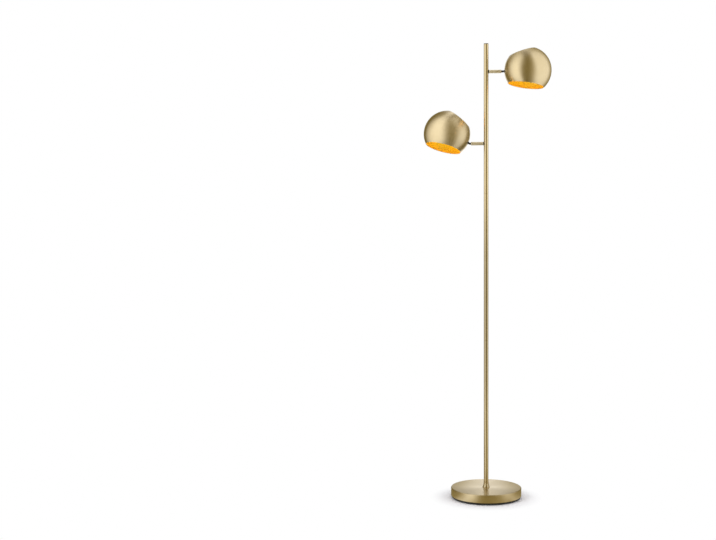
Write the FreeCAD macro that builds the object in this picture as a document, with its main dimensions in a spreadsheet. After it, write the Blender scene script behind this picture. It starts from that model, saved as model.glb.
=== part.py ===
"""Tree floor lamp: a round weighted base, a three-piece pole and two short arms, each with a swivelling shade.

Millimetres, +Z up. The origin is on the floor, on the pole's axis. The upper arm points along +X and the lower
arm along -X.

Four local frames hold the repeated pieces of an arm and its head:
  arm     origin on the pole's axis at the arm's height, +X outward along the arm
  swivel  origin at the knuckle's pin, +X outward along the arm, rolled about the arm
  head    origin at the knuckle's pin, +X towards the centre of the shade
  shade   origin at the centre of the shade, -Z out of the mouth, -X side towards the knuckle
"""

import FreeCAD, Part
import math
import os
import re

import Sketcher
from FreeCAD import Placement, Rotation, Vector

# Driving dimensions: millimetres, and degrees where the name ends in _angle.
DIMENSIONS = {
    # base
    "pad_radius": 118,
    "pad_height": 8,
    "pad_edge": 0.8,
    "base_radius": 122,
    "base_top": 36,
    "base_chamfer": 1.6,
    "cover_wall": 1.5,
    "cover_top": 2,
    "weight_radius": 102,
    "recess_radius": 18,
    "recess_top": 27,
    "lead_height": 14,
    "lead_slot_width": 12,
    "lead_slot_top": 19,
    "inlet_radius": 4.5,
    "inlet_bore": 2.6,
    "inlet_flange": 2.2,
    "inlet_lip": 1.4,
    "inlet_taper": 0.8,
    "inlet_play": 0.1,
    "base_nipple_radius": 5,
    "base_nipple_bore": 3.6,
    "base_nipple_bottom": 19.5,
    "base_nipple_top": 56,
    "base_nipple_room": 0.2,
    "base_washer_radius": 14,
    "base_washer_height": 1.6,
    "base_nut_radius": 9.5,
    "base_nut_height": 4,
    # pole
    "pole_radius": 8,
    "pole_wall": 1.2,
    "lower_seam": 552,
    "upper_seam": 1060,
    "pole_top": 1570,
    "cap_band": 2.5,
    "cap_round": 0.8,
    "cap_plug": 8,
    "seam_chamfer": 0.4,
    "joiner_length": 50,
    "joiner_bore": 4,
    "collar_radius": 12.25,
    "collar_lip": 1.5,
    "collar_height": 18,
    "collar_sweep": 26,
    "collar_edge": 0.5,
    "plug_height": 24,
    # arms
    "upper_arm_height": 1474.5,
    "lower_arm_height": 1230,
    "arm_radius": 6.1,
    "arm_wall": 1.1,
    "arm_end": 51.5,
    "arm_round": 1,
    "arm_washer_radius": 6.5,
    "arm_washer_face": 9.2,
    "arm_washer_back": 4,
    "nipple_radius": 3.5,
    "nipple_bore": 2.6,
    "nipple_start": 5.4,
    "nipple_end": 24,
    "root_plug_end": 22,
    "arm_bush_length": 11,
    "arm_bush_inset": 0.2,
    # knuckle
    "pivot_reach": 55.6,
    "fork_radius": 3.6,
    "fork_base": 4.2,
    "slot_half": 1.35,
    "slot_depth": 4,
    "blade_half": 1.25,
    "blade_width": 3,
    "stem_radius": 3,
    "stem_bore": 1.9,
    "stem_length": 20.6,
    "swivel_nut_radius": 4.5,
    "swivel_nut_height": 3.4,
    "spring_washer_height": 1.8,
    "pin_radius": 1.2,
    "pin_inset": 0.3,
    "running_fit": 0.05,
    "eye_flange_radius": 4.2,
    "eye_flange_start": 4,
    "eye_flange_end": 4.9,
    "eye_stem_end": 13,
    "blade_overlap": 0.4,
    "lead_way_radius": 0.5,
    "lead_way_gap": 0.65,
    "lead_way_length": 2,
    "shade_washer_rim": 5.2,
    "shade_washer_room": 0.1,
    "shade_nut_radius": 5.8,
    "shade_nut_height": 3,
    # shade and what it holds
    "shade_reach": 85.9,
    "shade_radius": 80,
    "shade_wall": 1,
    "mouth_angle": 50,
    "vent_angle": 37.5,
    "vent_lean_angle": 25,
    "mouth_lean_angle": 9.5,
    "shade_hole": 3.2,
    "bracket_face": 78,
    "bracket_sheet": 1.5,
    "bracket_width": 12,
    "bracket_bend": 4,
    "bracket_foot_below": 8,
    "bracket_foot_above": 10,
    "bracket_plate_reach": 12,
    "bracket_corner_reach": 15,
    "holder_plate": 58.5,
    "holder_radius": 13.5,
    "holder_bore": 7.6,
    "holder_mouth": 22,
    "holder_seat": 48,
    "holder_nipple": 5,
    "holder_nipple_top": 65,
    "holder_edge": 1,
    "holder_round": 5,
    "holder_nut_radius": 8,
    "holder_nut_height": 3.5,
    "bulb_radius": 22.5,
    "bulb_centre": 7.5,
    "bulb_wall": 1,
    "bulb_neck": 8.5,
    "bulb_neck_top": 21.5,
    "bulb_shoulder": 12,
    "bulb_shoulder_sweep": 18,
    "bulb_cap_radius": 6.75,
    "bulb_cap_side_end": 43,
    "bulb_contact_radius": 2.5,
    "bulb_contact_height": 1.5,
    # wires
    "pole_wire_radius": 2.2,
    "arm_wire_radius": 1.3,
    "wire_split": 1150,
    "wire_offset": 1.5,
    "wire_bend": 5,
    "head_wire_run": 22,
    "head_wire_reach": 28,
    "head_wire_entry": 36,
    "head_wire_bend": 8,
    # the photographed pose
    "upper_tilt_angle": 1.5,
    "upper_roll_angle": 6.5,
    "lower_tilt_angle": 24,
    "lower_roll_angle": 13,
    # hidden clearances
    "slip": 0.05,
}

X_AXIS = Vector(1, 0, 0)
Y_AXIS = Vector(0, 1, 0)
Z_AXIS = Vector(0, 0, 1)

doc = FreeCAD.newDocument("tree_floor_lamp")
sheet = doc.addObject("Spreadsheet::Sheet", "dimensions")
for row, (alias, value) in enumerate(DIMENSIONS.items(), start=1):
    sheet.set(f"A{row}", alias)
    sheet.set(f"B{row}", str(value))
    sheet.setAlias(f"B{row}", alias)
doc.recompute()

pieces = []  # every object that becomes a file of its own


# ---------------------------------------------------------------- helpers


def size(text):
    """The value of an expression in the sheet's aliases."""
    return float(sheet.evalExpression(str(text)))


def linked(text):
    """The same expression as another object of the document has to write it."""
    return re.sub(r"[a-z_]+", lambda m: "dimensions." + m[0] if m[0] in DIMENSIONS else m[0], str(text))


def keep(piece, placement=Placement()):
    """Puts a finished piece in its place and lists it for export."""
    piece.Placement = placement
    pieces.append(piece)
    return piece


def new_body(label):
    body = doc.addObject("PartDesign::Body", label)
    body.Label = label
    return body


def origin_plane(body, role):
    return next(feature for feature in body.Origin.OriginFeatures if feature.Role == role)


def arc_between(first, last, radius):
    """Arc from first to last, counter-clockwise for a positive radius and clockwise for a negative one."""
    chord = last - first
    height = math.sqrt(max(radius * radius - chord.Length * chord.Length / 4, 0))
    left = Vector(-chord.y, chord.x, 0).normalize()
    centre = (first + last) / 2 + left * math.copysign(height, radius)
    begin, end = (first, last) if radius > 0 else (last, first)
    angles = [math.atan2(point.y - centre.y, point.x - centre.x) for point in (begin, end)]
    return Part.ArcOfCircle(Part.Circle(centre, Z_AXIS, abs(radius)), *angles)


def outline_sketch(body, name, role, outline):
    """A closed sketch on one of the body's origin planes.

    The outline lists its corners in order, each a pair of expressions. A third entry makes the edge that leaves
    the corner an arc of that radius: counter-clockwise as written, or clockwise with "cw" as a fourth entry.
    """
    sketch = body.newObject("Sketcher::SketchObject", name)
    sketch.AttachmentSupport = [(origin_plane(body, role), "")]
    sketch.MapMode = "FlatFace"
    corners = [Vector(size(corner[0]), size(corner[1]), 0) for corner in outline]
    ends = []  # for each edge, which of its ends is its first corner and which its last
    for number, corner in enumerate(outline):
        first, last = corners[number], corners[(number + 1) % len(corners)]
        clockwise = len(corner) == 4
        if len(corner) > 2:
            radius = size(corner[2])
            sketch.addGeometry(arc_between(first, last, -radius if clockwise else radius))
        else:
            sketch.addGeometry(Part.LineSegment(first, last))
        ends.append((2, 1) if clockwise else (1, 2))
    for number, corner in enumerate(outline):
        following = (number + 1) % len(outline)
        begin = ends[number][0]
        sketch.addConstraint(
            Sketcher.Constraint("Coincident", number, ends[number][1], following, ends[following][0])
        )
        for kind, text in (("DistanceX", corner[0]), ("DistanceY", corner[1])):
            constraint = sketch.addConstraint(Sketcher.Constraint(kind, -1, 1, number, begin, size(text)))
            sketch.setExpression(f"Constraints[{constraint}]", linked(text))
        if len(corner) > 2:
            constraint = sketch.addConstraint(Sketcher.Constraint("Radius", number, size(corner[2])))
            sketch.setExpression(f"Constraints[{constraint}]", linked(corner[2]))
    return sketch


def circle_sketch(body, name, role, circles):
    """A sketch of circles, each given as centre x, centre y and radius."""
    sketch = body.newObject("Sketcher::SketchObject", name)
    sketch.AttachmentSupport = [(origin_plane(body, role), "")]
    sketch.MapMode = "FlatFace"
    for number, (x, y, radius) in enumerate(circles):
        sketch.addGeometry(Part.Circle(Vector(size(x), size(y), 0), Z_AXIS, size(radius)))
        for kind, text in (("DistanceX", x), ("DistanceY", y)):
            constraint = sketch.addConstraint(Sketcher.Constraint(kind, -1, 1, number, 3, size(text)))
            sketch.setExpression(f"Constraints[{constraint}]", linked(text))
        constraint = sketch.addConstraint(Sketcher.Constraint("Radius", number, size(radius)))
        sketch.setExpression(f"Constraints[{constraint}]", linked(radius))
    return sketch


def turned(label, outline, axis="V_Axis"):
    """A body turned from an outline in its XZ plane, about Z (V_Axis) or X (H_Axis)."""
    body = new_body(label)
    sketch = outline_sketch(body, label + "_outline", "XZ_Plane", outline)
    revolution = body.newObject("PartDesign::Revolution", label + "_turn")
    revolution.Profile = sketch
    revolution.ReferenceAxis = (sketch, [axis])
    revolution.Angle = 360
    doc.recompute()
    return body


def ring(label, inner, outer, start, end, axis="V_Axis"):
    """A plain ring or tube about the axis, from start to end along it."""
    outline = [(inner, start), (outer, start), (outer, end), (inner, end)]
    if axis == "H_Axis":
        outline = [(along, across) for across, along in outline]
    return turned(label, outline, axis)


def cut_through(body, sketch):
    """Pockets a sketch through the whole body, both ways from its plane."""
    volume = body.Shape.Volume
    pocket = body.newObject("PartDesign::Pocket", sketch.Name + "_cut")
    pocket.Profile = sketch
    pocket.Type = "ThroughAll"
    pocket.SideType = "Symmetric"
    doc.recompute()
    assert body.Shape.Volume < volume, f"{sketch.Name} cuts nothing"


def drill(body, name, radius, start, direction, depth):
    """Cuts a round hole from the start point along a direction, both in the body's own frame."""
    volume = body.Shape.Volume
    hole = body.newObject("PartDesign::SubtractiveCylinder", name)
    hole.AttachmentSupport = [(origin_plane(body, "XY_Plane"), "")]
    hole.MapMode = "FlatFace"
    hole.AttachmentOffset = Placement(start, Rotation(Z_AXIS, direction))
    hole.setExpression("Radius", linked(radius))
    hole.setExpression("Height", linked(depth))
    doc.recompute()
    assert body.Shape.Volume < volume, f"{name} cuts nothing"


def hex_nut(label, circumradius, bore, height):
    """A plain hexagonal nut from the origin up its Z axis."""
    blank = doc.addObject("Part::Prism", label + "_blank")
    blank.Polygon = 6
    blank.setExpression("Circumradius", linked(circumradius))
    blank.setExpression("Height", linked(height))
    hole = doc.addObject("Part::Cylinder", label + "_bore")
    hole.setExpression("Radius", linked(bore))
    hole.setExpression("Height", linked(height))
    nut = doc.addObject("Part::Cut", label)
    nut.Label = label
    nut.Base = blank
    nut.Tool = hole
    return nut


def rounded_path(points, bend, shift=0):
    """Edges through points in the XZ plane, with arcs of radius bend at the corners, shifted to their left."""
    turn_left = Rotation(Y_AXIS, -90)
    edges = []
    start = points[0] + turn_left.multVec((points[1] - points[0]).normalize()) * shift
    for before, corner, after in zip(points, points[1:], points[2:]):
        incoming = (corner - before).normalize()
        outgoing = (after - corner).normalize()
        side = math.copysign(1, turn_left.multVec(incoming).dot(outgoing))
        half_turn = incoming.getAngle(outgoing) / 2
        reach = bend * math.tan(half_turn)
        arc_start = corner - incoming * reach
        centre = arc_start + turn_left.multVec(incoming) * side * bend
        radius = bend - side * shift
        arc_points = [
            centre - turn_left.multVec(way).normalize() * side * radius
            for way in (incoming, incoming + outgoing, outgoing)
        ]
        edges.append(Part.LineSegment(start, arc_points[0]).toShape())
        edges.append(Part.Arc(*arc_points).toShape())
        start = arc_points[2]
    outgoing = (points[-1] - points[-2]).normalize()
    finish = points[-1] + turn_left.multVec(outgoing) * shift
    edges.append(Part.LineSegment(start, finish).toShape())
    return edges


def wire_along(label, points, radius, bend):
    """A round wire along a bent path in the XZ plane."""
    path = Part.Wire(rounded_path(points, bend))
    section = Part.Wire(Part.makeCircle(radius, points[0], points[1] - points[0]))
    wire = doc.addObject("Part::Feature", label)
    wire.Label = label
    wire.Shape = path.makePipeShell([section], True, False)
    drift = abs(wire.Shape.Volume / (math.pi * radius * radius * path.Length) - 1)
    assert drift < 0.01, f"{label} is not its section times its length"
    return wire


# ---------------------------------------------------------------- base


def make_base():
    pad = turned(
        "base_pad",
        [
            (0, 0),
            ("pad_radius - pad_edge", 0),
            ("pad_radius", "pad_edge"),
            ("pad_radius", "pad_height"),
            (0, "pad_height"),
        ],
    )
    keep(pad)

    cover = turned(
        "base_cover",
        [
            ("base_nipple_radius + base_nipple_room", "base_top"),
            ("base_nipple_radius + base_nipple_room", "base_top - cover_top"),
            ("base_radius - cover_wall", "base_top - cover_top"),
            ("base_radius - cover_wall", "pad_height"),
            ("base_radius", "pad_height"),
            ("base_radius", "base_top - base_chamfer"),
            ("base_radius - base_chamfer", "base_top"),
        ],
    )
    inside = Vector(0, size("base_radius - inlet_radius * 2"), size("lead_height"))
    drill(cover, "inlet_hole", "inlet_radius + slip", inside, Y_AXIS, "inlet_radius * 4")
    keep(cover)

    weight = turned(
        "base_weight",
        [
            ("recess_radius", "pad_height"),
            ("weight_radius", "pad_height"),
            ("weight_radius", "base_top - cover_top"),
            ("base_nipple_radius + base_nipple_room", "base_top - cover_top"),
            ("base_nipple_radius + base_nipple_room", "recess_top"),
            ("recess_radius", "recess_top"),
        ],
    )
    slot = weight.newObject("PartDesign::SubtractiveBox", "lead_slot")
    slot.AttachmentSupport = [(origin_plane(weight, "XY_Plane"), "")]
    slot.MapMode = "FlatFace"
    slot.AttachmentOffset = Placement(Vector(-size("lead_slot_width") / 2, 0, 0), Rotation())
    slot.setExpression("Length", linked("lead_slot_width"))
    slot.setExpression("Width", linked("weight_radius + 1"))
    slot.setExpression("Height", linked("lead_slot_top"))
    keep(weight)

    keep(ring("base_nipple", "base_nipple_bore", "base_nipple_radius", "base_nipple_bottom", "base_nipple_top"))
    bore = "base_nipple_radius + slip"
    washer_bottom = "recess_top - base_washer_height"
    keep(ring("base_washer", bore, "base_washer_radius", washer_bottom, "recess_top"))
    nut = hex_nut("base_nut", "base_nut_radius", bore, "base_nut_height")
    keep(nut, Placement(Vector(0, 0, size(f"{washer_bottom} - base_nut_height")), Rotation()))

    wall = "base_radius - cover_wall"
    bush = turned(
        "cord_inlet_bush",
        [
            (f"{wall} - inlet_flange", "inlet_bore"),
            (f"{wall} - inlet_flange", "inlet_radius + inlet_lip"),
            (f"{wall} - inlet_play", "inlet_radius + inlet_lip"),
            (f"{wall} - inlet_play", "inlet_radius"),
            ("base_radius + inlet_play", "inlet_radius"),
            ("base_radius + inlet_play", "inlet_radius + inlet_lip"),
            ("base_radius + inlet_flange", "inlet_radius + inlet_lip - inlet_taper"),
            ("base_radius + inlet_flange", "inlet_bore"),
        ],
        "H_Axis",
    )
    keep(bush, Placement(Vector(0, 0, size("lead_height")), Rotation(Z_AXIS, 90)))


# ---------------------------------------------------------------- pole


def make_pole():
    inner = "pole_radius - pole_wall"
    for label, bottom, top in (
        ("pole_lower", "base_top", "lower_seam"),
        ("pole_middle", "lower_seam", "upper_seam"),
        ("pole_upper", "upper_seam", "pole_top - cap_band"),
    ):
        section = turned(
            label,
            [
                (inner, bottom),
                ("pole_radius - seam_chamfer", bottom),
                ("pole_radius", f"{bottom} + seam_chamfer"),
                ("pole_radius", f"{top} - seam_chamfer"),
                ("pole_radius - seam_chamfer", top),
                (inner, top),
            ],
        )
        if label == "pole_upper":
            for arm, direction in (("upper", X_AXIS), ("lower", -X_AXIS)):
                start = Vector(0, 0, size(f"{arm}_arm_height"))
                drill(section, f"{arm}_arm_hole", "nipple_radius + slip", start, direction, "pole_radius * 2")
        keep(section)

    fitted = f"{inner} - slip"
    for label, seam in (("pole_joiner_lower", "lower_seam"), ("pole_joiner_upper", "upper_seam")):
        keep(ring(label, "joiner_bore", fitted, f"{seam} - joiner_length / 2", f"{seam} + joiner_length / 2"))
    keep(ring("pole_foot_plug", "base_nipple_radius + slip", fitted, "base_top", "base_top + plug_height"))

    keep(
        turned(
            "foot_collar",
            [
                ("pole_radius + slip", "base_top"),
                ("collar_radius", "base_top"),
                ("collar_radius", "base_top + collar_lip", "collar_sweep", "cw"),
                ("pole_radius + collar_edge", "base_top + collar_height"),
                ("pole_radius + slip", "base_top + collar_height"),
            ],
        )
    )
    keep(
        turned(
            "pole_cap",
            [
                (0, "pole_top - cap_band - cap_plug"),
                (fitted, "pole_top - cap_band - cap_plug"),
                (fitted, "pole_top - cap_band"),
                ("pole_radius", "pole_top - cap_band"),
                ("pole_radius", "pole_top - cap_round", "cap_round"),
                ("pole_radius - cap_round", "pole_top"),
                (0, "pole_top"),
            ],
        )
    )

    lead = [(-1, "lead_height"), (0, "lead_height"), (0, "wire_split")]
    reach = size("base_radius - cover_wall - inlet_flange")
    points = [Vector(x * reach, 0, size(height)) for x, height in lead]
    wire = wire_along("pole_wire", points, size("pole_wire_radius"), size("wire_bend"))
    keep(wire, Placement(Vector(), Rotation(Z_AXIS, -90)))


# ---------------------------------------------------------------- arms


def make_arm(name, frame):
    """The fixed pieces of one arm, in the arm's frame."""
    inner = "arm_radius - arm_wall"
    bush_end = "arm_end - arm_bush_inset"
    keep(
        turned(
            f"{name}_arm_tube",
            [
                ("arm_washer_face", inner),
                ("arm_end", inner),
                ("arm_end", "arm_radius - arm_round", "arm_round"),
                ("arm_end - arm_round", "arm_radius"),
                ("arm_washer_face", "arm_radius"),
            ],
            "H_Axis",
        ),
        frame,
    )
    extent = ("nipple_radius + slip", "arm_washer_radius", "arm_washer_back", "arm_washer_face")
    washer = ring(f"{name}_arm_washer", *extent, "H_Axis")
    depth = "arm_washer_radius * 4"
    drill(washer, f"{name}_saddle", "pole_radius + slip", Vector(0, 0, -size(depth) / 2), Z_AXIS, depth)
    keep(washer, frame)
    for label, bore, outer, start, end in (
        ("arm_nipple", "nipple_bore", "nipple_radius", "nipple_start", "nipple_end"),
        ("arm_root_plug", "nipple_radius + slip", f"{inner} - slip", "arm_washer_face", "root_plug_end"),
        ("arm_bush", "stem_radius + running_fit", f"{inner} - slip", f"{bush_end} - arm_bush_length", bush_end),
    ):
        keep(ring(f"{name}_{label}", bore, outer, start, end, "H_Axis"), frame)

    offset = size("wire_offset")
    points = [
        Vector(offset, 0, size(f"wire_split - {name}_arm_height")),
        Vector(offset, 0, 0),
        Vector(size("pivot_reach - stem_length - 1"), 0, 0),
    ]
    keep(wire_along(f"{name}_arm_wire", points, size("arm_wire_radius"), size("wire_bend")), frame)


def make_swivel(name, frame):
    """The fork that turns in the arm's end, its nut and washer, and the knuckle's pin, in the swivel's frame."""
    fork = turned(
        f"{name}_swivel_fork",
        [
            ("-stem_length", "stem_bore"),
            ("-stem_length", "stem_radius"),
            ("-fork_base", "stem_radius"),
            ("-fork_base", "fork_radius"),
            ("fork_radius", "fork_radius"),
            ("fork_radius", 0),
            ("-slot_depth", 0),
            ("-slot_depth", "stem_bore"),
        ],
        "H_Axis",
    )
    clear = "fork_radius * 2"
    nose = [
        (0, "fork_radius", "fork_radius", "cw"),
        ("fork_radius", 0, "fork_radius", "cw"),
        (0, "-fork_radius"),
        (0, f"-{clear}"),
        (clear, f"-{clear}"),
        (clear, clear),
        (0, clear),
    ]
    cut_through(fork, outline_sketch(fork, f"{name}_fork_nose", "XZ_Plane", nose))
    slot = [
        ("-slot_depth", "-slot_half"),
        (clear, "-slot_half"),
        (clear, "slot_half"),
        ("-slot_depth", "slot_half"),
    ]
    cut_through(fork, outline_sketch(fork, f"{name}_fork_slot", "XY_Plane", slot))
    cut_through(fork, circle_sketch(fork, f"{name}_fork_pin_hole", "XZ_Plane", [(0, 0, "pin_radius + slip")]))
    keep(fork, frame)

    nut = hex_nut(f"{name}_swivel_nut", "swivel_nut_radius", "stem_radius + slip", "swivel_nut_height")
    keep(nut, frame * Placement(Vector(-size("stem_length"), 0, 0), Rotation(Y_AXIS, 90)))
    washer_start = "-stem_length + swivel_nut_height"
    keep(
        ring(
            f"{name}_swivel_spring_washer",
            "stem_radius + slip",
            "swivel_nut_radius",
            washer_start,
            f"{washer_start} + spring_washer_height",
            "H_Axis",
        ),
        frame,
    )
    pin_end = size("fork_radius - pin_inset")
    pin = doc.addObject("Part::Cylinder", f"{name}_knuckle_pin")
    pin.Label = f"{name}_knuckle_pin"
    pin.setExpression("Radius", linked("pin_radius"))
    pin.Height = 2 * pin_end
    keep(pin, frame * Placement(Vector(0, pin_end, 0), Rotation(X_AXIS, 90)))


# ---------------------------------------------------------------- heads


def make_shade_mount(name, frame):
    """The eye that carries the shade, with its washers and nut, in the head's frame."""
    eye = turned(
        f"{name}_knuckle_eye",
        [
            ("eye_flange_start", 0),
            ("eye_flange_start", "eye_flange_radius"),
            ("eye_flange_end", "eye_flange_radius"),
            ("eye_flange_end", "stem_radius"),
            ("eye_stem_end", "stem_radius"),
            ("eye_stem_end", "stem_bore"),
            ("eye_flange_end", "stem_bore"),
            ("eye_flange_end", 0),
        ],
        "H_Axis",
    )
    blade_reach = "eye_flange_start + blade_overlap"
    blade = [
        (0, "fork_radius", "fork_radius"),
        ("-fork_radius", 0, "fork_radius"),
        (0, "-fork_radius"),
        ("blade_width", "-blade_width"),
        (blade_reach, "-blade_width"),
        (blade_reach, "blade_width"),
        ("blade_width", "blade_width"),
    ]
    pad = eye.newObject("PartDesign::Pad", f"{name}_blade")
    pad.Profile = outline_sketch(eye, f"{name}_blade_outline", "XZ_Plane", blade)
    pad.SideType = "Symmetric"
    pad.setExpression("Length", linked("2 * blade_half"))
    doc.recompute()
    pin_hole = [(0, 0, "pin_radius + running_fit")]
    cut_through(eye, circle_sketch(eye, f"{name}_eye_pin_hole", "XZ_Plane", pin_hole))
    for side in (-1, 1):
        start = Vector(size("eye_flange_start - lead_way_radius"), side * size("blade_half + lead_way_gap"), 0)
        label = f"{name}_lead_way_{'near' if side < 0 else 'far'}"
        drill(eye, label, "lead_way_radius", start, X_AXIS, "lead_way_length")
    keep(eye, frame)

    def on_sphere(radius, across):
        return f"shade_reach - sqrt(({radius})^2 - ({across})^2)"

    inside = "shade_radius - shade_wall"
    bore = "stem_radius + shade_washer_room"
    keep(
        turned(
            f"{name}_shade_washer",
            [
                ("eye_flange_end", bore),
                (on_sphere("shade_radius", bore), bore, "shade_radius", "cw"),
                (on_sphere("shade_radius", "shade_washer_rim"), "shade_washer_rim"),
                ("eye_flange_end", "eye_flange_radius"),
            ],
            "H_Axis",
        ),
        frame,
    )
    keep(
        turned(
            f"{name}_shade_inner_washer",
            [
                ("shade_reach - bracket_face", bore),
                ("shade_reach - bracket_face", "shade_washer_rim"),
                (on_sphere(inside, "shade_washer_rim"), "shade_washer_rim", inside),
                (on_sphere(inside, bore), bore),
            ],
            "H_Axis",
        ),
        frame,
    )
    nut = hex_nut(f"{name}_shade_nut", "shade_nut_radius", "stem_radius + slip", "shade_nut_height")
    nut_face = size("shade_reach - bracket_face + bracket_sheet")
    keep(nut, frame * Placement(Vector(nut_face, 0, 0), Rotation(Y_AXIS, 90)))


def make_shade(name, frame):
    """The spun shade in its own frame: a sphere cut flat at the mouth and at the vent."""
    mouth = "-shade_radius * cos(mouth_angle)"
    inside = "shade_radius - shade_wall"
    shade = turned(
        f"{name}_shade",
        [
            (0, inside, inside, "cw"),
            (f"sqrt(({inside})^2 - (shade_radius * cos(mouth_angle))^2)", mouth),
            ("shade_radius * sin(mouth_angle)", mouth, "shade_radius"),
            (0, "shade_radius"),
        ],
    )
    lean = math.radians(size("vent_lean_angle"))
    vent_axis = Vector(-math.sin(lean), 0, math.cos(lean))
    vent_plane = vent_axis * size("shade_radius * cos(vent_angle)")
    drill(shade, f"{name}_vent", "shade_radius", vent_plane, vent_axis, "shade_radius")
    lean = math.radians(size("mouth_lean_angle"))
    mount_axis = Vector(-math.cos(lean), 0, -math.sin(lean))
    start = mount_axis * size("shade_radius / 2")
    drill(shade, f"{name}_mount_hole", "shade_hole", start, mount_axis, "shade_radius")
    keep(shade, frame)


def make_light(name, frame):
    """Bracket, lamp holder, bulb and lead, in the shade's frame."""
    lean = math.radians(size("mouth_lean_angle"))
    towards_mount = Vector(-math.cos(lean), 0, -math.sin(lean))
    along_foot = Vector(-math.sin(lean), 0, math.cos(lean))
    sheet_middle = size("bracket_sheet") / 2
    foot = towards_mount * (size("bracket_face") - sheet_middle)
    plate_height = size("holder_plate") + sheet_middle
    strip = [
        foot - along_foot * size("bracket_foot_below"),
        foot + along_foot * size("bracket_foot_above"),
        Vector(-size("bracket_corner_reach"), 0, plate_height),
        Vector(size("bracket_plate_reach"), 0, plate_height),
    ]
    bend = size("bracket_bend")
    left = rounded_path(strip, bend, sheet_middle)
    right = rounded_path(strip, bend, -sheet_middle)
    ends = [Part.LineSegment(left[i].Vertexes[i].Point, right[i].Vertexes[i].Point).toShape() for i in (0, -1)]
    outline = Part.Wire(Part.sortEdges(left + right + ends)[0])
    width = size("bracket_width")
    strap = Part.Face(outline).extrude(Y_AXIS * width)
    strap.translate(Y_AXIS * (-width / 2))
    room = size("shade_washer_room")
    back = towards_mount * size("bracket_width / 2")
    stem_hole = Part.makeCylinder(size("stem_radius") + room, width, foot - back, towards_mount)
    below = Vector(0, 0, plate_height - width / 2)
    plate_hole = Part.makeCylinder(size("holder_nipple") + room, width, below)
    bracket = doc.addObject("Part::Feature", f"{name}_holder_bracket")
    bracket.Label = f"{name}_holder_bracket"
    bracket.Shape = strap.cut([stem_hole, plate_hole])
    keep(bracket, frame)

    keep(
        turned(
            f"{name}_lamp_holder",
            [
                ("holder_bore", "holder_mouth"),
                ("holder_radius - holder_edge", "holder_mouth"),
                ("holder_radius", "holder_mouth + holder_edge"),
                ("holder_radius", "holder_plate - holder_round", "holder_round"),
                ("holder_radius - holder_round", "holder_plate"),
                ("holder_nipple", "holder_plate"),
                ("holder_nipple", "holder_nipple_top"),
                (0, "holder_nipple_top"),
                (0, "holder_seat"),
                ("holder_bore", "holder_seat"),
            ],
        ),
        frame,
    )
    nut = hex_nut(f"{name}_holder_nut", "holder_nut_radius", "holder_nipple + slip", "holder_nut_height")
    keep(nut, frame * Placement(Vector(0, 0, size("holder_plate + bracket_sheet")), Rotation()))

    inside = "bulb_radius - bulb_wall"
    inner_shoulder = "bulb_shoulder - bulb_wall"
    shoulder_height = "sqrt(bulb_radius^2 - bulb_shoulder^2) - bulb_centre"
    keep(
        turned(
            f"{name}_bulb_glass",
            [
                (0, "-bulb_centre - bulb_radius", "bulb_radius"),
                ("bulb_shoulder", shoulder_height, "bulb_shoulder_sweep", "cw"),
                ("bulb_neck", "bulb_neck_top"),
                ("bulb_neck - bulb_wall", "bulb_neck_top", "bulb_shoulder_sweep + bulb_wall"),
                (inner_shoulder, f"sqrt(({inside})^2 - ({inner_shoulder})^2) - bulb_centre", inside, "cw"),
                (0, f"-bulb_centre - ({inside})"),
            ],
        ),
        frame,
    )
    keep(
        turned(
            f"{name}_bulb_cap",
            [
                (0, "bulb_neck_top"),
                ("bulb_cap_radius", "bulb_neck_top"),
                ("bulb_cap_radius", "bulb_cap_side_end"),
                ("bulb_contact_radius", "holder_seat - bulb_contact_height"),
                ("bulb_contact_radius", "holder_seat"),
                (0, "holder_seat"),
            ],
        ),
        frame,
    )

    stem_end = towards_mount * size("shade_reach - eye_stem_end")
    entry = size("head_wire_entry")
    points = [
        stem_end,
        stem_end - towards_mount * size("head_wire_run"),
        Vector(-size("head_wire_reach"), 0, entry),
        Vector(-size("holder_radius"), 0, entry),
    ]
    keep(wire_along(f"{name}_head_wire", points, size("arm_wire_radius"), size("head_wire_bend")), frame)


# ---------------------------------------------------------------- assembly


def make_branch(name, side):
    """One arm with its head. The side is 1 for an arm along +X and -1 for an arm along -X."""
    arm = Placement(Vector(0, 0, size(f"{name}_arm_height")), Rotation(Z_AXIS, 0 if side > 0 else 180))
    roll = Rotation(X_AXIS, -side * size(f"{name}_roll_angle"))
    swivel = arm * Placement(Vector(size("pivot_reach"), 0, 0), roll)
    head = swivel * Placement(Vector(), Rotation(Y_AXIS, -size(f"{name}_tilt_angle")))
    lean = Rotation(Y_AXIS, size("mouth_lean_angle"))
    shade = head * Placement(Vector(size("shade_reach"), 0, 0), lean)
    make_arm(name, arm)
    make_swivel(name, swivel)
    make_shade_mount(name, head)
    make_shade(name, shade)
    make_light(name, shade)


def check_and_export():
    doc.recompute()
    for item in doc.Objects:
        faults = {"Invalid", "Error"} & set(item.State)
        assert not faults, f"{item.Name}: {faults}"
    for piece in pieces:
        assert not piece.Shape.isNull() and piece.Shape.isValid(), f"{piece.Label}: bad shape"
        assert len(piece.Shape.Solids) == 1, f"{piece.Label}: {len(piece.Shape.Solids)} solids"
    os.makedirs("parts", exist_ok=True)
    for piece in pieces:
        piece.Shape.exportStep(f"parts/{piece.Label}.step")
    print(len(pieces), "pieces written")


make_base()
make_pole()
make_branch("upper", 1)
make_branch("lower", -1)
check_and_export()
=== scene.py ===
"""Looks of the tree floor lamp: brushed brass, black knuckles, lit gold shades and a plain white studio.

Metres, +Z up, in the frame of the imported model. The camera looks along +Y from -Y.
"""

import math

import bmesh
import bpy
from mathutils import Matrix, Vector


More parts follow.
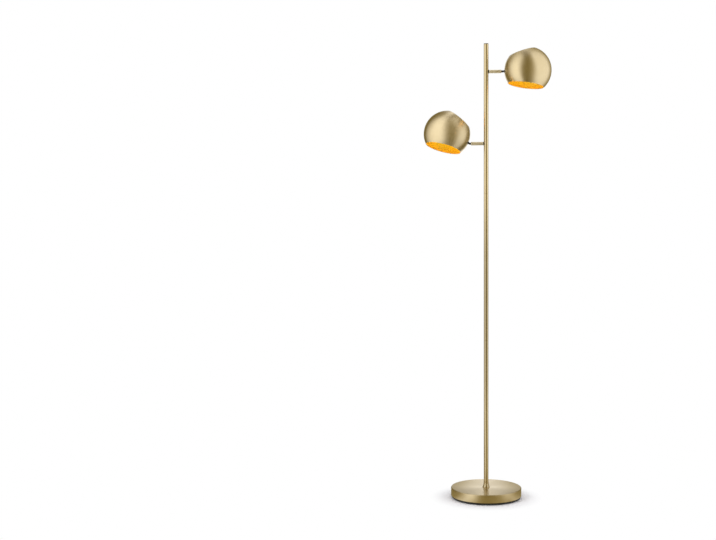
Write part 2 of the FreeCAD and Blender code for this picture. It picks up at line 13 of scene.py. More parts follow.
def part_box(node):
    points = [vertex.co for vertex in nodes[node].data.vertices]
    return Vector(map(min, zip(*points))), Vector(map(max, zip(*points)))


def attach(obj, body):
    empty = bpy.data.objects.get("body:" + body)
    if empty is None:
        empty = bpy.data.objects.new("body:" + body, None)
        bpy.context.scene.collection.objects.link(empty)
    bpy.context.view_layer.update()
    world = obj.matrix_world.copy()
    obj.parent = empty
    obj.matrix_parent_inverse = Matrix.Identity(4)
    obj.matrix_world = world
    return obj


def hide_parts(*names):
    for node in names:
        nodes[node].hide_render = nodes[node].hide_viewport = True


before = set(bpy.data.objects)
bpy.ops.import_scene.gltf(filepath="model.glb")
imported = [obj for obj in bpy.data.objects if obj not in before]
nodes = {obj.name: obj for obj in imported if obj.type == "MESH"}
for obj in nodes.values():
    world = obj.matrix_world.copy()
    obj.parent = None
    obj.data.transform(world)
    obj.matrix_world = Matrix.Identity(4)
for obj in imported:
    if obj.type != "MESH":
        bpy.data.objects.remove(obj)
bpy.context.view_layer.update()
scene = bpy.context.scene

MM = 0.001
SIDES = ("upper", "lower")
Z = Vector((0, 0, 1))

# The photographed pose of each head, as in the part: degrees about the arm and about the knuckle's pin.
ROLL = {"upper": 6.5, "lower": 13}
TILT = {"upper": 1.5, "lower": 24}
# The side of the pole that each arm is on, and the sense of its roll.
TURN = {"upper": 0, "lower": 180}
ROLL_SENSE = {"upper": -1, "lower": 1}
MOUTH_LEAN = 9.5  # degrees from the head's own down to the direction in which the mouth opens

# Shade, in its own frame: origin at the centre, -Z out of the mouth, -X towards the knuckle.
SHADE_RADIUS = 80 * MM
SHADE_WALL = 1 * MM
SHADE_REACH = 85.9 * MM
MOUTH_ANGLE = math.radians(50)
VENT_ANGLE = math.radians(37.5)
VENT_LEAN = math.radians(25)
VENT_TURN = Matrix.Rotation(-VENT_LEAN, 4, "Y")
LIP = 0.75 * MM

# Colours, linear.
WHITE = (1, 1, 1)
BRASS = (0.66, 0.545, 0.335)
BRASS_DEEP = (0.56, 0.44, 0.235)
# The arms' brass is painted lighter than the pole's: a painted highlight for how brightly the arms are lit.
ARM_BRASS_PAINTED_LIGHT = (0.86, 0.78, 0.60)
# The cap's brass is painted dark all over: painted shade for the dark band at the top of the pole.
CAP_BRASS_PAINTED_SHADE = (0.20, 0.165, 0.10)
GOLD_INSIDE = (0.93, 0.74, 0.03)
# The deeper orange of the lining near the mouth: painted shade.
GOLD_RIM_PAINTED_SHADE = (0.93, 0.50, 0.035)
OPAL = (0.93, 0.90, 0.84)
OPAL_DEEP = (0.88, 0.82, 0.72)
GLOW = (1.0, 0.76, 0.36)
GLOW_DEEP = (1.0, 0.60, 0.25)


# ---------------------------------------------------------------- camera

CAMERA_PLACE = Vector((0, -4.5, 1.108))
CAMERA_YAW = math.radians(5.640)
CAMERA_PITCH = math.radians(-3.955)
CAMERA_ROLL = math.radians(-0.390)
CAMERA_LENS = 65.39
SENSOR_WIDTH = 36


def make_camera():
    turn = Matrix.Rotation(CAMERA_YAW, 4, "Z") @ Matrix.Rotation(math.pi / 2 + CAMERA_PITCH, 4, "X")
    camera = bpy.data.objects.new("camera", bpy.data.cameras.new("camera"))
    camera.data.lens = CAMERA_LENS
    camera.data.sensor_width = SENSOR_WIDTH
    camera.matrix_world = Matrix.Translation(CAMERA_PLACE) @ turn @ Matrix.Rotation(CAMERA_ROLL, 4, "Z")
    scene.collection.objects.link(camera)
    scene.camera = camera


# ---------------------------------------------------------------- frames


def head_frame(side):
    """Where a head's own frame lies: origin at the knuckle's pin, +X to the centre of the shade."""
    low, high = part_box(f"{side}_knuckle_pin")
    turn = Matrix.Rotation(math.radians(TURN[side]), 4, "Z")
    roll = Matrix.Rotation(ROLL_SENSE[side] * math.radians(ROLL[side]), 4, "X")
    tilt = Matrix.Rotation(-math.radians(TILT[side]), 4, "Y")
    return Matrix.Translation((low + high) / 2) @ turn @ roll @ tilt


def shade_frame(side):
    lean = Matrix.Rotation(math.radians(MOUTH_LEAN), 4, "Y")
    return head_frame(side) @ Matrix.Translation((SHADE_REACH, 0, 0)) @ lean


# ---------------------------------------------------------------- shader helpers


class Shader:
    """A node tree with short calls: add() makes a node, feed() gives an input its number or its link."""

    def __init__(self, tree):
        self.tree = tree
        tree.nodes.clear()

    def add(self, kind, inputs=(), **settings):
        node = self.tree.nodes.new(kind)
        for name, setting in settings.items():
            setattr(node, name, setting)
        for name, given in dict(inputs).items():
            self.feed(node.inputs[name], given)
        return node

    def feed(self, socket, given):
        if isinstance(given, bpy.types.NodeSocket):
            self.tree.links.new(given, socket)
        elif isinstance(given, (tuple, list, Vector)) and len(socket.default_value) > len(given):
            socket.default_value = (*given, 1)
        else:
            socket.default_value = given

    def math(self, operation, first, second=0.0, clamp=False):
        node = self.add("ShaderNodeMath", {0: first, 1: second}, operation=operation, use_clamp=clamp)
        return node.outputs[0]

    def vector_math(self, operation, *vectors):
        return self.add("ShaderNodeVectorMath", dict(enumerate(vectors)), operation=operation).outputs

    def mix(self, factor, first, second):
        node = self.add("ShaderNodeMix", data_type="RGBA")
        for name, given in (("Factor_Float", factor), ("A_Color", first), ("B_Color", second)):
            self.feed(next(socket for socket in node.inputs if socket.identifier == name), given)
        return next(socket for socket in node.outputs if socket.identifier == "Result_Color")

    def mix_shaders(self, factor, first, second):
        return self.add("ShaderNodeMixShader", {0: factor, 1: first, 2: second}).outputs[0]

    def noise(self, vector, scale, detail=2.0):
        inputs = {"Vector": vector, "Scale": scale, "Detail": detail}
        return self.add("ShaderNodeTexNoise", inputs).outputs[0]

    def spread(self, value, low, high, start=0.3, end=0.7, **settings):
        """Maps start..end of a value onto low..high. The defaults are where most of a noise lies."""
        inputs = {"Value": value, "From Min": start, "From Max": end, "To Min": low, "To Max": high}
        return self.add("ShaderNodeMapRange", inputs, **settings).outputs[0]

    def place(self):
        return self.add("ShaderNodeTexCoord").outputs["Object"]

    def emission(self, colour, strength=1.0):
        return self.add("ShaderNodeEmission", {"Color": colour, "Strength": strength}).outputs[0]

    def bump(self, height, depth):
        inputs = {"Height": height, "Distance": depth, "Strength": 1.0}
        return self.add("ShaderNodeBump", inputs).outputs[0]

    def ramp(self, value, stops):
        node = self.add("ShaderNodeValToRGB", {"Fac": value})
        elements = node.color_ramp.elements
        elements.remove(elements[1])
        for index, (position, colour) in enumerate(stops):
            stop = elements[0] if index == 0 else elements.new(position)
            stop.position = position
            stop.color = (*colour, 1)
        return node.outputs[0]

    def surface(self, output):
        self.add("ShaderNodeOutputMaterial", {"Surface": output})

    def principled(self, **inputs):
        sockets = {name.replace("_", " "): given for name, given in inputs.items()}
        self.surface(self.add("ShaderNodeBsdfPrincipled", sockets).outputs[0])


def new_material(name):
    material = bpy.data.materials.new(name)
    material.use_nodes = True
    return material, Shader(material.node_tree)


# ---------------------------------------------------------------- materials

BRUSH_LINES = 2600  # the noise's scale across the grain, per metre
BRUSH_SLOW = 9  # and along it
BLOTCH_SCALE = 14
FINE_TONE = (-0.08, 0.08)
BROAD_TONE = (0.1, 0.45)
ACROSS_THE_GRAIN = 0.25  # of a turn: highlights stretch square to the brushing
DIAGONAL = Vector((1, 1, 1))
LACQUER = 0.25
LACQUER_ROUGHNESS = 0.2

LINING_RINGS = 900
LINING_CLOUD_SCALE = 22
LINING_CLOUD = (-0.1, 0.1)
# Heights in the shade between which the lining's painted shade turns it from orange to yellow.
PAINTED_SHADE_HEIGHTS = (-60 * MM, -15 * MM)

GRAIN_CLOUD_SCALE = 35
GLASS_CLOUD_SCALE = 60
GLASS_ROUGHNESS = 0.25
GLOW_STRENGTH = 3.4

# Plain finishes, by slot: colour, second colour, roughness, and what else differs from the usual.
GRAINED = {
    "bush_brass": ((0.62, 0.47, 0.22), (0.55, 0.40, 0.17), 0.35, {"metallic": 1.0}),
    "black_metal": ((0.016, 0.014, 0.012), (0.030, 0.026, 0.022), 0.38, {"scale": 1500, "coat": 0.2}),
    "steel": ((0.56, 0.56, 0.55), (0.48, 0.48, 0.47), 0.32, {"metallic": 1.0}),
    "iron": (
        (0.06, 0.058, 0.055), (0.10, 0.09, 0.08), 0.75, {"metallic": 0.3, "scale": 350, "depth": 0.2 * MM},
    ),
    "foot_rubber": (
        (0.012, 0.012, 0.012), (0.02, 0.019, 0.018), 0.75, {"scale": 700, "depth": 0.05 * MM},
    ),
    "bush_plastic": ((0.02, 0.02, 0.02), (0.03, 0.03, 0.03), 0.42, {}),
    "wire_plastic": ((0.03, 0.028, 0.026), (0.045, 0.042, 0.04), 0.45, {}),
    "holder_plastic": ((0.018, 0.017, 0.016), (0.03, 0.028, 0.025), 0.3, {"coat": 0.3}),
    "cap_metal": ((0.62, 0.60, 0.55), (0.52, 0.50, 0.45), 0.28, {"metallic": 1.0}),
}


def brushed_brass(name, roughness, anisotropy, axis=Z, light=BRASS, deep=BRASS_DEEP, depth=0.006 * MM):
    """Satin brass, brushed round an axis through the object's origin, in the object's own directions."""
    material, shader = new_material(name)
    place = shader.place()
    along = shader.vector_math("DOT_PRODUCT", place, axis)["Value"]
    radius = shader.vector_math("LENGTH", shader.vector_math("CROSS_PRODUCT", place, axis)["Vector"])["Value"]
    diagonal = shader.vector_math("DOT_PRODUCT", place, DIAGONAL)["Value"]
    grain = shader.add("ShaderNodeCombineXYZ", {
        0: shader.math("MULTIPLY", radius, BRUSH_LINES),
        1: shader.math("MULTIPLY", along, BRUSH_LINES),
        2: shader.math("MULTIPLY", diagonal, BRUSH_SLOW),
    }).outputs[0]
    lines = shader.noise(grain, 1.0, 3.0)
    blotches = shader.noise(place, BLOTCH_SCALE, 3.0)
    fine, broad = shader.spread(lines, *FINE_TONE), shader.spread(blotches, *BROAD_TONE)
    tone = shader.math("ADD", fine, broad, clamp=True)
    turned = {"vector_type": "VECTOR", "convert_from": "OBJECT", "convert_to": "WORLD"}
    axis_now = shader.add("ShaderNodeVectorTransform", {0: axis}, **turned).outputs[0]
    normal = shader.add("ShaderNodeNewGeometry").outputs["Normal"]
    shader.principled(
        Base_Color=shader.mix(tone, light, deep),
        Metallic=1.0,
        Roughness=shader.spread(lines, roughness - 0.03, roughness + 0.05),
        Anisotropic=anisotropy,
        Anisotropic_Rotation=ACROSS_THE_GRAIN,
        Tangent=shader.vector_math("CROSS_PRODUCT", axis_now, normal)["Vector"],
        Coat_Weight=LACQUER,
        Coat_Roughness=LACQUER_ROUGHNESS,
        Normal=shader.bump(lines, depth),
    )
    return material


def gold_lining(name, axis):
    """The inside of a shade: a warm gold wash over the spun brass, with painted shade that makes it deeper in
    colour towards the mouth.
    """
    material, shader = new_material(name)
    place = shader.place()
    height = shader.vector_math("DOT_PRODUCT", place, axis)["Value"]
    rings = shader.noise(shader.math("MULTIPLY", height, LINING_RINGS), 1.0)
    cloud = shader.spread(shader.noise(place, LINING_CLOUD_SCALE), *LINING_CLOUD)
    # Painted shade: the lining turns orange towards the mouth, with a random cloud in the change.
    painted_shade_toward_mouth = shader.math("ADD", shader.spread(height, 1.0, 0.0, *PAINTED_SHADE_HEIGHTS), cloud, clamp=True)
    shader.principled(
        Base_Color=shader.mix(painted_shade_toward_mouth, GOLD_INSIDE, GOLD_RIM_PAINTED_SHADE),
        Metallic=0.35,
        Roughness=shader.spread(rings, 0.36, 0.48),
        Normal=shader.bump(rings, 0.01 * MM),
    )
    return material


def grained(name, colour, second, roughness, metallic=0.0, scale=900, depth=0.02 * MM, coat=0.0):
    """A plain finish with a fine grain, for rubber, cast iron, plastic, black metal and bright metal."""
    material, shader = new_material(name)
    place = shader.place()
    grain = shader.noise(place, scale, 4.0)
    cloud = shader.noise(place, GRAIN_CLOUD_SCALE)
    shader.principled(
        Base_Color=shader.mix(shader.spread(cloud, 0.0, 1.0), colour, second),
        Metallic=metallic,
        Roughness=shader.spread(grain, roughness - 0.05, roughness + 0.07),
        Coat_Weight=coat,
        Normal=shader.bump(grain, depth),
    )
    return material


def opal_glass():
    """Opal bulb glass that glows by itself, with a faint cloud in its colour and in its glow."""
    material, shader = new_material("opal_glass")
    cloud = shader.noise(shader.place(), GLASS_CLOUD_SCALE)
    shader.principled(
        Base_Color=shader.mix(shader.spread(cloud, 0.0, 0.4), OPAL, OPAL_DEEP),
        Roughness=GLASS_ROUGHNESS,
        Emission_Color=shader.mix(shader.spread(cloud, 0.0, 1.0), GLOW, GLOW_DEEP),
        Emission_Strength=GLOW_STRENGTH,
    )
    return material


def make_materials():
    materials = {
        "pole_brass": brushed_brass("pole_brass", 0.24, 0.8),
        # The arms take a lighter copy of the brass: painted light.
        "arm_brass": brushed_brass("arm_brass", 0.4, 0.5, light=ARM_BRASS_PAINTED_LIGHT, deep=BRASS, depth=0.002 * MM),
        # The cap takes a dark copy of the brass: painted shade.
        "cap_brass": brushed_brass("cap_brass", 0.3, 0.5, light=CAP_BRASS_PAINTED_SHADE, deep=CAP_BRASS_PAINTED_SHADE),
        "base_brass": brushed_brass("base_brass", 0.30, 0.8),
        "opal_glass": opal_glass(),
    }
    for name, (colour, second, roughness, others) in GRAINED.items():
        materials[name] = grained(name, colour, second, roughness, **others)
    for side in SIDES:
        brass, lining = f"{side}_shade_brass", f"{side}_lining"
        spin = (shade_frame(side) @ VENT_TURN).to_3x3() @ Z
        materials[brass] = brushed_brass(brass, 0.34, 0.9, axis=spin)
        materials[lining] = gold_lining(lining, shade_frame(side).to_3x3() @ Z)
    return materials


def dress(materials):
    """Gives every CAD node its slot's material. The CAD shades, which are replaced, take the pole's."""
    for node in nodes.values():
        for holder in node.material_slots:
            slot = holder.material.name.split(".")[0]
            holder.material = materials.get(slot, materials["pole_brass"])


# ---------------------------------------------------------------- shades

MERIDIANS = 160
ROWS = 56
LIP_STEPS = 6
LINING_ROWS = range(ROWS + LIP_STEPS, 2 * ROWS + LIP_STEPS)  # the rows of the section on the wall's inside


def vent_edge(azimuth):
    """The angle from +Z at which the meridian meets the vent's rim."""
    level = math.cos(VENT_LEAN)
    lean = -math.sin(VENT_LEAN) * math.cos(azimuth)
    return math.atan2(lean, level) + math.acos(math.cos(VENT_ANGLE) / math.hypot(level, lean))


def meridian_section(azimuth):
    """The wall's closed section on one meridian, as (radius, angle from +Z): out, over and back."""
    low = math.pi - MOUTH_ANGLE - LIP / SHADE_RADIUS
    high = vent_edge(azimuth) + LIP / SHADE_RADIUS
    middle = SHADE_RADIUS - SHADE_WALL / 2
    section = []
    for radius, first, last in ((SHADE_RADIUS, low, high), (SHADE_RADIUS - SHADE_WALL, high, low)):
        for row in range(ROWS + 1):
            section.append((radius, first + (last - first) * row / ROWS))
        outward = 1 if radius == SHADE_RADIUS else -1
        for step in range(1, LIP_STEPS):
            turn = math.pi * step / LIP_STEPS
            lift = outward * LIP * math.cos(turn)
            reach = -outward * LIP * math.sin(turn)
            section.append((middle + lift, last + reach / SHADE_RADIUS))
    return section


def make_shade(side, materials):
    """A shade whose object keeps the world's directions, so that its box is the sphere's own box."""
    mesh = bmesh.new()
    frame_now = shade_frame(side)
    directions = frame_now.to_3x3()
    columns = []
    for index in range(MERIDIANS):
        azimuth = 2 * math.pi * index / MERIDIANS
        columns.append([
            mesh.verts.new(directions @ Vector((
                radius * math.sin(angle) * math.cos(azimuth),
                radius * math.sin(angle) * math.sin(azimuth),
                radius * math.cos(angle),
            )))
            for radius, angle in meridian_section(azimuth)
        ])
    count = len(columns[0])
    for index in range(MERIDIANS):
        here, after = columns[index], columns[(index + 1) % MERIDIANS]
        for row in range(count):
            above = (row + 1) % count
            face = mesh.faces.new((here[row], after[row], after[above], here[above]))
            face.smooth = True
            face.material_index = 1 if row in LINING_ROWS else 0
    look = [materials[f"{side}_shade_brass"], materials[f"{side}_lining"]]
    place = Matrix.Translation(frame_now.translation)
    finish_mesh(mesh, f"{side}_shade_spun", look, place, f"{side}_head", [f"{side}_shade"])


def mesh_object(name, mesh, look):
    """Turns a bmesh into an object in the scene, and frees the bmesh."""
    data = bpy.data.meshes.new(name)
    mesh.to_mesh(data)
    mesh.free()
    for material in look:
        data.materials.append(material)
    obj = bpy.data.objects.new(name, data)
    scene.collection.objects.link(obj)
    return obj


def finish_mesh(mesh, name, look, place, body, replaced):
    """Turns a bmesh into a piece that rides on its body and stands for CAD nodes."""
    bmesh.ops.recalc_face_normals(mesh, faces=mesh.faces[:])
    piece = mesh_object(name, mesh, look)
    piece.matrix_world = place
    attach(piece, body)
    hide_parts(*replaced)
    return piece


# ---------------------------------------------------------------- spun pieces

SPIN_STEPS = 128
SMALL_SPIN_STEPS = 64
ROUND_STEPS = 5
ON_THE_AXIS = 1e-6
SHARP_EDGE = math.radians(40)


def rounded(corners):
    """The outline through corners of (radius, height, round), with an arc for each round that isn't 0."""
    outline = []
    for index, (radius, height, bend) in enumerate(corners):
        corner = Vector((radius, height))
        if not bend:
            outline.append(corner)
            continue
        before = (Vector(corners[index - 1][:2]) - corner).normalized()
        after = (Vector(corners[(index + 1) % len(corners)][:2]) - corner).normalized()
        half = before.angle(after) / 2
        centre = corner + (before + after).normalized() * bend / math.sin(half)
        start = corner + before * bend / math.tan(half) - centre
        end = corner + after * bend / math.tan(half) - centre
        for step in range(ROUND_STEPS + 1):
            share = step / ROUND_STEPS
            outline.append(centre + (start * (1 - share) + end * share).normalized() * bend)
    return outline


def spun(name, corners, look, body, replaced, place=Matrix(), steps=SPIN_STEPS):
    """A piece turned about its own Z from a closed outline. Corners on the axis close it."""
    mesh = bmesh.new()
    turns = [2 * math.pi * index / steps for index in range(steps)]
    rings = []
    for point in rounded(corners):
        if point.x < ON_THE_AXIS:
            rings.append([mesh.verts.new((0, 0, point.y))] * steps)
            continue
        rings.append([
            mesh.verts.new((point.x * math.cos(turn), point.x * math.sin(turn), point.y)) for turn in turns
        ])
    for row, ring in enumerate(rings):
        above = rings[(row + 1) % len(rings)]
        for index in range(steps):
            after = (index + 1) % steps
            loop = list(dict.fromkeys((ring[index], ring[after], above[after], above[index])))
            if len(loop) > 2:
                mesh.faces.new(loop).smooth = True
    piece = finish_mesh(mesh, name, [look], place, body, replaced)
    piece.data.set_sharp_from_angle(angle=SHARP_EDGE)


def radius_of(node):
    low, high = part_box(node)
    return (high.x - low.x) / 2


def make_base(materials):
    """The spun cover: a top and a skirt, open below, with a rounded shoulder and hem."""
    low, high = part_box("base_cover")
    radius, top, bottom = radius_of("base_cover"), high.z, low.z
    skirt, plate, clearance = 1.5 * MM, 2 * MM, 0.2 * MM
    shoulder, shoulder_inside, hem, hem_inside = 2.2 * MM, 1.2 * MM, 0.6 * MM, 0.3 * MM
    hole = radius_of("base_nipple") + clearance
    spun("base_cover_spun", [
        (hole, top, 0), (radius, top, shoulder), (radius, bottom, hem), (radius - skirt, bottom, hem_inside),
        (radius - skirt, top - plate, shoulder_inside), (hole, top - plate, 0),
    ], materials["base_brass"], "root", ["base_cover"])


def make_cap(materials):
    """The flat cap of the pole, with the shadow gap under its band."""
    low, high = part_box("pole_cap")
    radius, bore = radius_of("pole_cap"), radius_of("pole_joiner_upper")
    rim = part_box("pole_upper")[1].z
    gap, spigot_round, band_round, top_round = 0.5 * MM, 0.4 * MM, 0.1 * MM, 0.8 * MM
    spun("pole_cap_turned", [
        (0, low.z, 0), (bore, low.z, spigot_round), (bore, rim, 0), (radius - gap, rim, 0),
        (radius - gap, rim + gap, 0), (radius, rim + gap, band_round), (radius, high.z, top_round),
        (0, high.z, 0),
    ], materials["cap_brass"], "root", ["pole_cap"], steps=SMALL_SPIN_STEPS)


def make_arm(side, materials):
    """The arm's tube, with a rolled end and a fine turned line near it."""
    low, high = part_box(f"{side}_arm_tube")
    centre = (low + high) / 2
    radius = (high.z - low.z) / 2
    start, end = sorted((abs(low.x), abs(high.x)))
    wall, groove, line_to_end = 1.1 * MM, 0.35 * MM, 4.5 * MM
    root_round, end_round, bore_round = 0.4 * MM, 1.1 * MM, 0.3 * MM
    bore, line = radius - wall, end - line_to_end
    outward = Matrix.Rotation(math.radians(TURN[side]), 4, "Z") @ Matrix.Rotation(math.pi / 2, 4, "Y")
    place = Matrix.Translation((0, 0, centre.z)) @ outward
    spun(f"{side}_arm_tube_turned", [
        (bore, start, 0), (radius, start, root_round), (radius, line - groove, 0), (radius - groove, line, 0),
        (radius, line + groove, 0), (radius, end, end_round), (bore, end, bore_round),
    ], materials["arm_brass"], "root", [f"{side}_arm_tube"], place, steps=SMALL_SPIN_STEPS)


# ---------------------------------------------------------------- bulb and lamp holder

# In the shade's frame: radii, and heights above the shade's centre.
GLOBE_RADIUS = 22.5 * MM
GLOBE_CENTRE = -7.5 * MM
GLASS_WALL = 1 * MM
GLOBE_START, GLOBE_SWEEP = -90, 148  # degrees, from the globe's lowest point to the neck
GLOBE_STEPS = 28
GLOBE_SPIN_STEPS = 72
NECK_RADIUS = 8.5 * MM
NECK_TOP = 21.5 * MM

SCREW_RADIUS = 6.75 * MM
SCREW_TOP = 43 * MM
SCREW_TOP_RADIUS = SCREW_RADIUS - 1 * MM
SCREW_TURNS = 3
SCREW_DEPTH = 0.45 * MM
SCREW_ROUND = 0.3 * MM
SCREW_SPIN_STEPS = 48
CONTACT_START = 46.5 * MM
CONTACT_RADIUS, CONTACT_TIP_RADIUS, CONTACT_ROUND = 3 * MM, 2.5 * MM, 0.4 * MM
SEAT = 48 * MM  # where the bulb's contact meets the floor of the holder

HOLDER_RADIUS = 13.5 * MM
HOLDER_BORE = 7.6 * MM
HOLDER_MOUTH = 22 * MM
HOLDER_TOP = 58.5 * MM
HOLDER_BORE_ROUND, HOLDER_MOUTH_ROUND, HOLDER_TOP_ROUND = 0.3 * MM, 1 * MM, 5 * MM
STUD_RADIUS = 5 * MM
STUD_TOP = 65 * MM
STUD_ROUND = 0.3 * MM
GROOVES = 5
GROOVE_START, GROOVE_PITCH = 6, 4  # millimetres above the holder's mouth, and from groove to groove
GROOVE_SHAPE = ((0, 0), (0.5, 0.6), (1.2, 0.6), (1.7, 0))  # millimetres along the holder, and deep


def make_globe(side, place, look):
    outer, inner = [], []
    for step in range(GLOBE_STEPS + 1):
        angle = math.radians(GLOBE_START + GLOBE_SWEEP * step / GLOBE_STEPS)
        for outline, radius in ((outer, GLOBE_RADIUS), (inner, GLOBE_RADIUS - GLASS_WALL)):
            outline.append((radius * math.cos(angle), GLOBE_CENTRE + radius * math.sin(angle), 0))
    outer[0], inner[0] = (0, outer[0][1], 0), (0, inner[0][1], 0)
    spun(f"{side}_bulb_globe", [
        *outer, (NECK_RADIUS, NECK_TOP, 0), (NECK_RADIUS - GLASS_WALL, NECK_TOP, 0), *reversed(inner),
    ], look, f"{side}_head", [f"{side}_bulb_glass"], place, steps=GLOBE_SPIN_STEPS)


def make_screw_cap(side, place, look):
    """The bulb's cap. Its thread is plain rings."""
    outline = [(0, NECK_TOP, 0), (SCREW_RADIUS, NECK_TOP, 0)]
    pitch = (SCREW_TOP - NECK_TOP) / (SCREW_TURNS * 2 + 1)
    for turn in range(1, SCREW_TURNS * 2 + 1):
        depth = SCREW_DEPTH if turn % 2 else 0
        outline.append((SCREW_RADIUS - depth, NECK_TOP + turn * pitch, SCREW_ROUND))
    outline += [
        (SCREW_TOP_RADIUS, SCREW_TOP, SCREW_ROUND), (CONTACT_RADIUS, CONTACT_START, 0),
        (CONTACT_TIP_RADIUS, SEAT, CONTACT_ROUND), (0, SEAT, 0),
    ]
    spun(
        f"{side}_bulb_cap_screwed", outline, look,
        f"{side}_head", [f"{side}_bulb_cap"], place, steps=SCREW_SPIN_STEPS,
    )


def make_holder(side, place, look):
    grooves = []
    for index in range(GROOVES):
        start = HOLDER_MOUTH + (GROOVE_START + index * GROOVE_PITCH) * MM
        grooves += [(HOLDER_RADIUS - deep * MM, start + along * MM, 0) for along, deep in GROOVE_SHAPE]
    spun(f"{side}_lamp_holder_moulded", [
        (HOLDER_BORE, HOLDER_MOUTH, HOLDER_BORE_ROUND), (HOLDER_RADIUS, HOLDER_MOUTH, HOLDER_MOUTH_ROUND),
        *grooves, (HOLDER_RADIUS, HOLDER_TOP, HOLDER_TOP_ROUND), (STUD_RADIUS, HOLDER_TOP, 0),
        (STUD_RADIUS, STUD_TOP, STUD_ROUND), (0, STUD_TOP, 0), (0, SEAT, 0), (HOLDER_BORE, SEAT, 0),
    ], look, f"{side}_head", [f"{side}_lamp_holder"], place, steps=SMALL_SPIN_STEPS)


def make_bulb(side, materials):
    """A small globe bulb and its holder."""
    place = shade_frame(side)
    make_globe(side, place, materials["opal_glass"])
    make_screw_cap(side, place, materials["cap_metal"])
    make_holder(side, place, materials["holder_plastic"])


# ---------------------------------------------------------------- studio

FLOOR_SIZE = 14
FLOOR_COLOUR = (0.86, 0.85, 0.88)
FLOOR_LIFT = 0.02
FLOOR_GLOW = (0.96, 0.93, 1.0)
FLOOR_FADE = (0.115, 0.2)  # metres from the pole between which the lit floor runs out to white

TENT_RADIUS = 0.5
TENT_BOTTOM = 0.01
TENT_TOP = 3.0
TENT_SIDES = 96
# Level of the light round the lamp: degrees from the camera, positive to the right. White panels, dark flags.
TENT_LEVELS = (
    (-180, 1.5), (-170, 1.2), (-153, 0.3), (-116, 0.22), (-96, 0.9), (-76, 1.5), (-36, 1.6), (-23, 0.9),
    (-12, 0.34), (-3, 0.28), (20, 0.28), (36, 0.5), (54, 1.3), (101, 1.35), (116, 0.65), (131, 0.32),
    (153, 0.3), (170, 1.2), (180, 1.5),
)
# The same near the floor, where the base sees narrower panels.
TENT_LOW_LEVELS = (
    (-180, 1.5), (-168, 0.4), (-150, 0.12), (-100, 0.2), (-72, 0.4), (-58, 1.2), (-42, 1.75), (-30, 1.2),
    (-16, 0.4), (0, 0.3), (25, 0.36), (44, 0.6), (62, 1.3), (76, 0.8), (95, 0.35), (120, 0.2), (150, 0.12),
    (168, 0.4), (180, 1.5),
)
TENT_LOW = (0.10, 0.22)  # metres between which the low panels give way to the others
TENT_HEIGHTS = ((0.0, 1.0), (0.12, 1.0), (0.32, 0.6), (0.85, 0.6), (1.02, 1.0))  # metres, share of the level
TENT_FLOOR_LEVEL = 0.45  # share of the panels' own level that the tent's floor shows
TENT_FLOOR_LIFT = 0.22
FLAG_TINT = (1.0, 0.74, 0.06)
CEILING = (0.554, 0.536, 0.525)

AMBIENT = 0.45
LAMP_TARGET = Vector((0, 0, 0.8))
# Name, place and width in metres, and power in watts.
LAMPS = (
    ("softbox_left", (-2.6, -2.4, 2.6), 1.8, 48),
    ("softbox_right", (2.8, -1.4, 2.2), 1.8, 30),
    ("softbox_top", (0, 0.6, 3.6), 2.4, 34),
)


def only_in_gloss(obj):
    """A panel that shows only in reflections, and casts no shadow."""
    obj.visible_camera = False
    obj.visible_diffuse = False
    obj.visible_shadow = False
    obj.visible_transmission = False
    obj.visible_volume_scatter = False


def tinted(level):
    """Dark flags are warm, white panels neutral."""
    warmth = max(0.0, 1 - level)
    return tuple(level * (1 + (tint - 1) * warmth) for tint in FLAG_TINT)


def panel_material(name, share, lift):
    """Panels round the lamp: a level that changes with the direction, times a share, plus a lift."""
    material, shader = new_material(name)
    parts = shader.add("ShaderNodeSeparateXYZ", {0: shader.place()}).outputs
    toward = shader.math("MULTIPLY", parts[1], -1.0)
    azimuth = shader.math("ARCTAN2", parts[0], toward)
    around = shader.spread(azimuth, 0.0, 1.0, -math.pi, math.pi)
    high, low = (
        shader.ramp(around, [
            ((degrees + 180) / 360, tinted(level * share + lift)) for degrees, level in levels
        ])
        for levels in (TENT_LEVELS, TENT_LOW_LEVELS)
    )
    colour = shader.mix(shader.spread(parts[2], 0.0, 1.0, *TENT_LOW), low, high)
    height = shader.math("DIVIDE", parts[2], TENT_TOP)
    shares = shader.ramp(height, [(metres / TENT_TOP, (level,) * 3) for metres, level in TENT_HEIGHTS])
    shader.surface(shader.emission(colour, shares))
    return material


def plain_light(name, colour):
    material, shader = new_material(name)
    shader.surface(shader.emission(colour))
    return material


def make_tent():
    mesh = bmesh.new()
    turns = [2 * math.pi * index / TENT_SIDES for index in range(TENT_SIDES)]
    rings = [
        [
            mesh.verts.new((TENT_RADIUS * math.cos(turn), TENT_RADIUS * math.sin(turn), height))
            for turn in turns
        ]
        for height in (TENT_BOTTOM, TENT_TOP)
    ]
    for index in range(TENT_SIDES):
        after = (index + 1) % TENT_SIDES
        mesh.faces.new((rings[0][index], rings[0][after], rings[1][after], rings[1][index]))
    only_in_gloss(mesh_object("tent", mesh, [panel_material("tent_panels", 1.0, 0.0)]))

    discs = (
        ("tent_floor", TENT_BOTTOM / 2, panel_material("tent_floor", TENT_FLOOR_LEVEL, TENT_FLOOR_LIFT)),
        ("tent_ceiling", TENT_TOP, plain_light("tent_ceiling", CEILING)),
    )
    for name, height, material in discs:
        mesh = bmesh.new()
        bmesh.ops.create_circle(mesh, cap_ends=True, segments=TENT_SIDES, radius=TENT_RADIUS)
        disc = mesh_object(name, mesh, [material])
        disc.location.z = height
        only_in_gloss(disc)


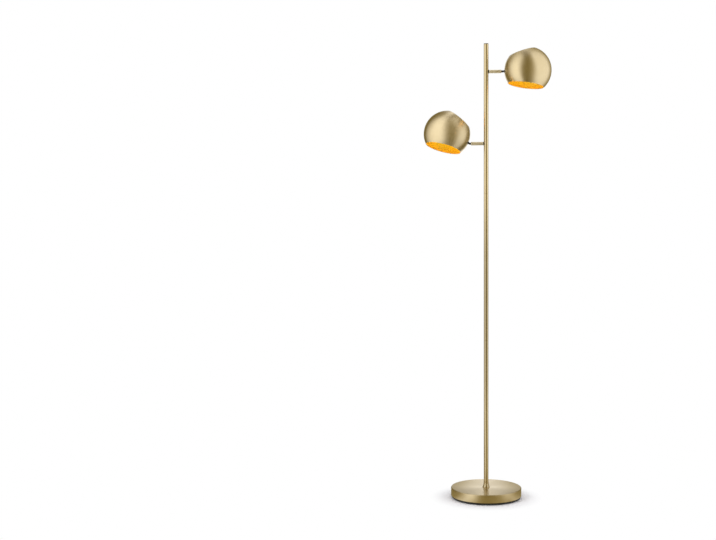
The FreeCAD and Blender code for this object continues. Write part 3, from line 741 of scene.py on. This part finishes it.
def make_world():
    """White where it is seen, and dimmer where it lights."""
    world = bpy.data.worlds.new("studio")
    world.use_nodes = True
    scene.world = world
    shader = Shader(world.node_tree)
    path = shader.add("ShaderNodeLightPath").outputs
    seen = shader.math("MAXIMUM", path["Is Camera Ray"], path["Is Glossy Ray"])
    seen = shader.math("MAXIMUM", seen, path["Is Transmission Ray"])
    backdrop, ambient = (
        shader.add("ShaderNodeBackground", {"Color": WHITE, "Strength": strength}).outputs[0]
        for strength in (1.0, AMBIENT)
    )
    shader.add("ShaderNodeOutputWorld", {"Surface": shader.mix_shaders(seen, ambient, backdrop)})


def make_floor():
    """A plain pale floor that keeps the lamp's shadow and runs out to the white of the backdrop."""
    material, shader = new_material("floor_white")
    path = shader.add("ShaderNodeLightPath").outputs
    parts = shader.add("ShaderNodeSeparateXYZ", {0: shader.place()}).outputs
    squares = [shader.math("MULTIPLY", part, part) for part in parts[:2]]
    radius = shader.math("SQRT", shader.math("ADD", *squares))
    fade = shader.spread(radius, 0.0, 1.0, *FLOOR_FADE, interpolation_type="SMOOTHSTEP")
    matt = shader.add("ShaderNodeBsdfDiffuse", {"Color": FLOOR_COLOUR}).outputs[0]
    lift = shader.emission(FLOOR_GLOW, FLOOR_LIFT)
    lifted = shader.add("ShaderNodeAddShader", {0: matt, 1: lift}).outputs[0]
    plain = shader.emission(WHITE)
    seen = shader.mix_shaders(fade, lifted, plain)
    lit = shader.mix_shaders(path["Is Camera Ray"], matt, seen)
    gloss = shader.math("MAXIMUM", path["Is Glossy Ray"], path["Is Transmission Ray"])
    shader.surface(shader.mix_shaders(gloss, lit, plain))
    mesh = bmesh.new()
    bmesh.ops.create_grid(mesh, x_segments=1, y_segments=1, size=FLOOR_SIZE / 2)
    mesh_object("floor", mesh, [material])


def make_lamp(name, place, width, power):
    lamp = bpy.data.lights.new(name, "AREA")
    lamp.shape = "DISK"
    lamp.size = width
    lamp.energy = power
    obj = bpy.data.objects.new(name, lamp)
    obj.location = place
    obj.rotation_euler = (LAMP_TARGET - Vector(place)).to_track_quat("-Z", "Y").to_euler()
    obj.visible_glossy = False
    scene.collection.objects.link(obj)


def make_studio():
    make_world()
    make_floor()
    make_tent()
    for lamp in LAMPS:
        make_lamp(*lamp)


# ---------------------------------------------------------------- build

materials = make_materials()
dress(materials)
make_base(materials)
make_cap(materials)
for side in SIDES:
    make_arm(side, materials)
    make_shade(side, materials)
    make_bulb(side, materials)
make_camera()
make_studio()
scene.view_settings.view_transform = "Standard"
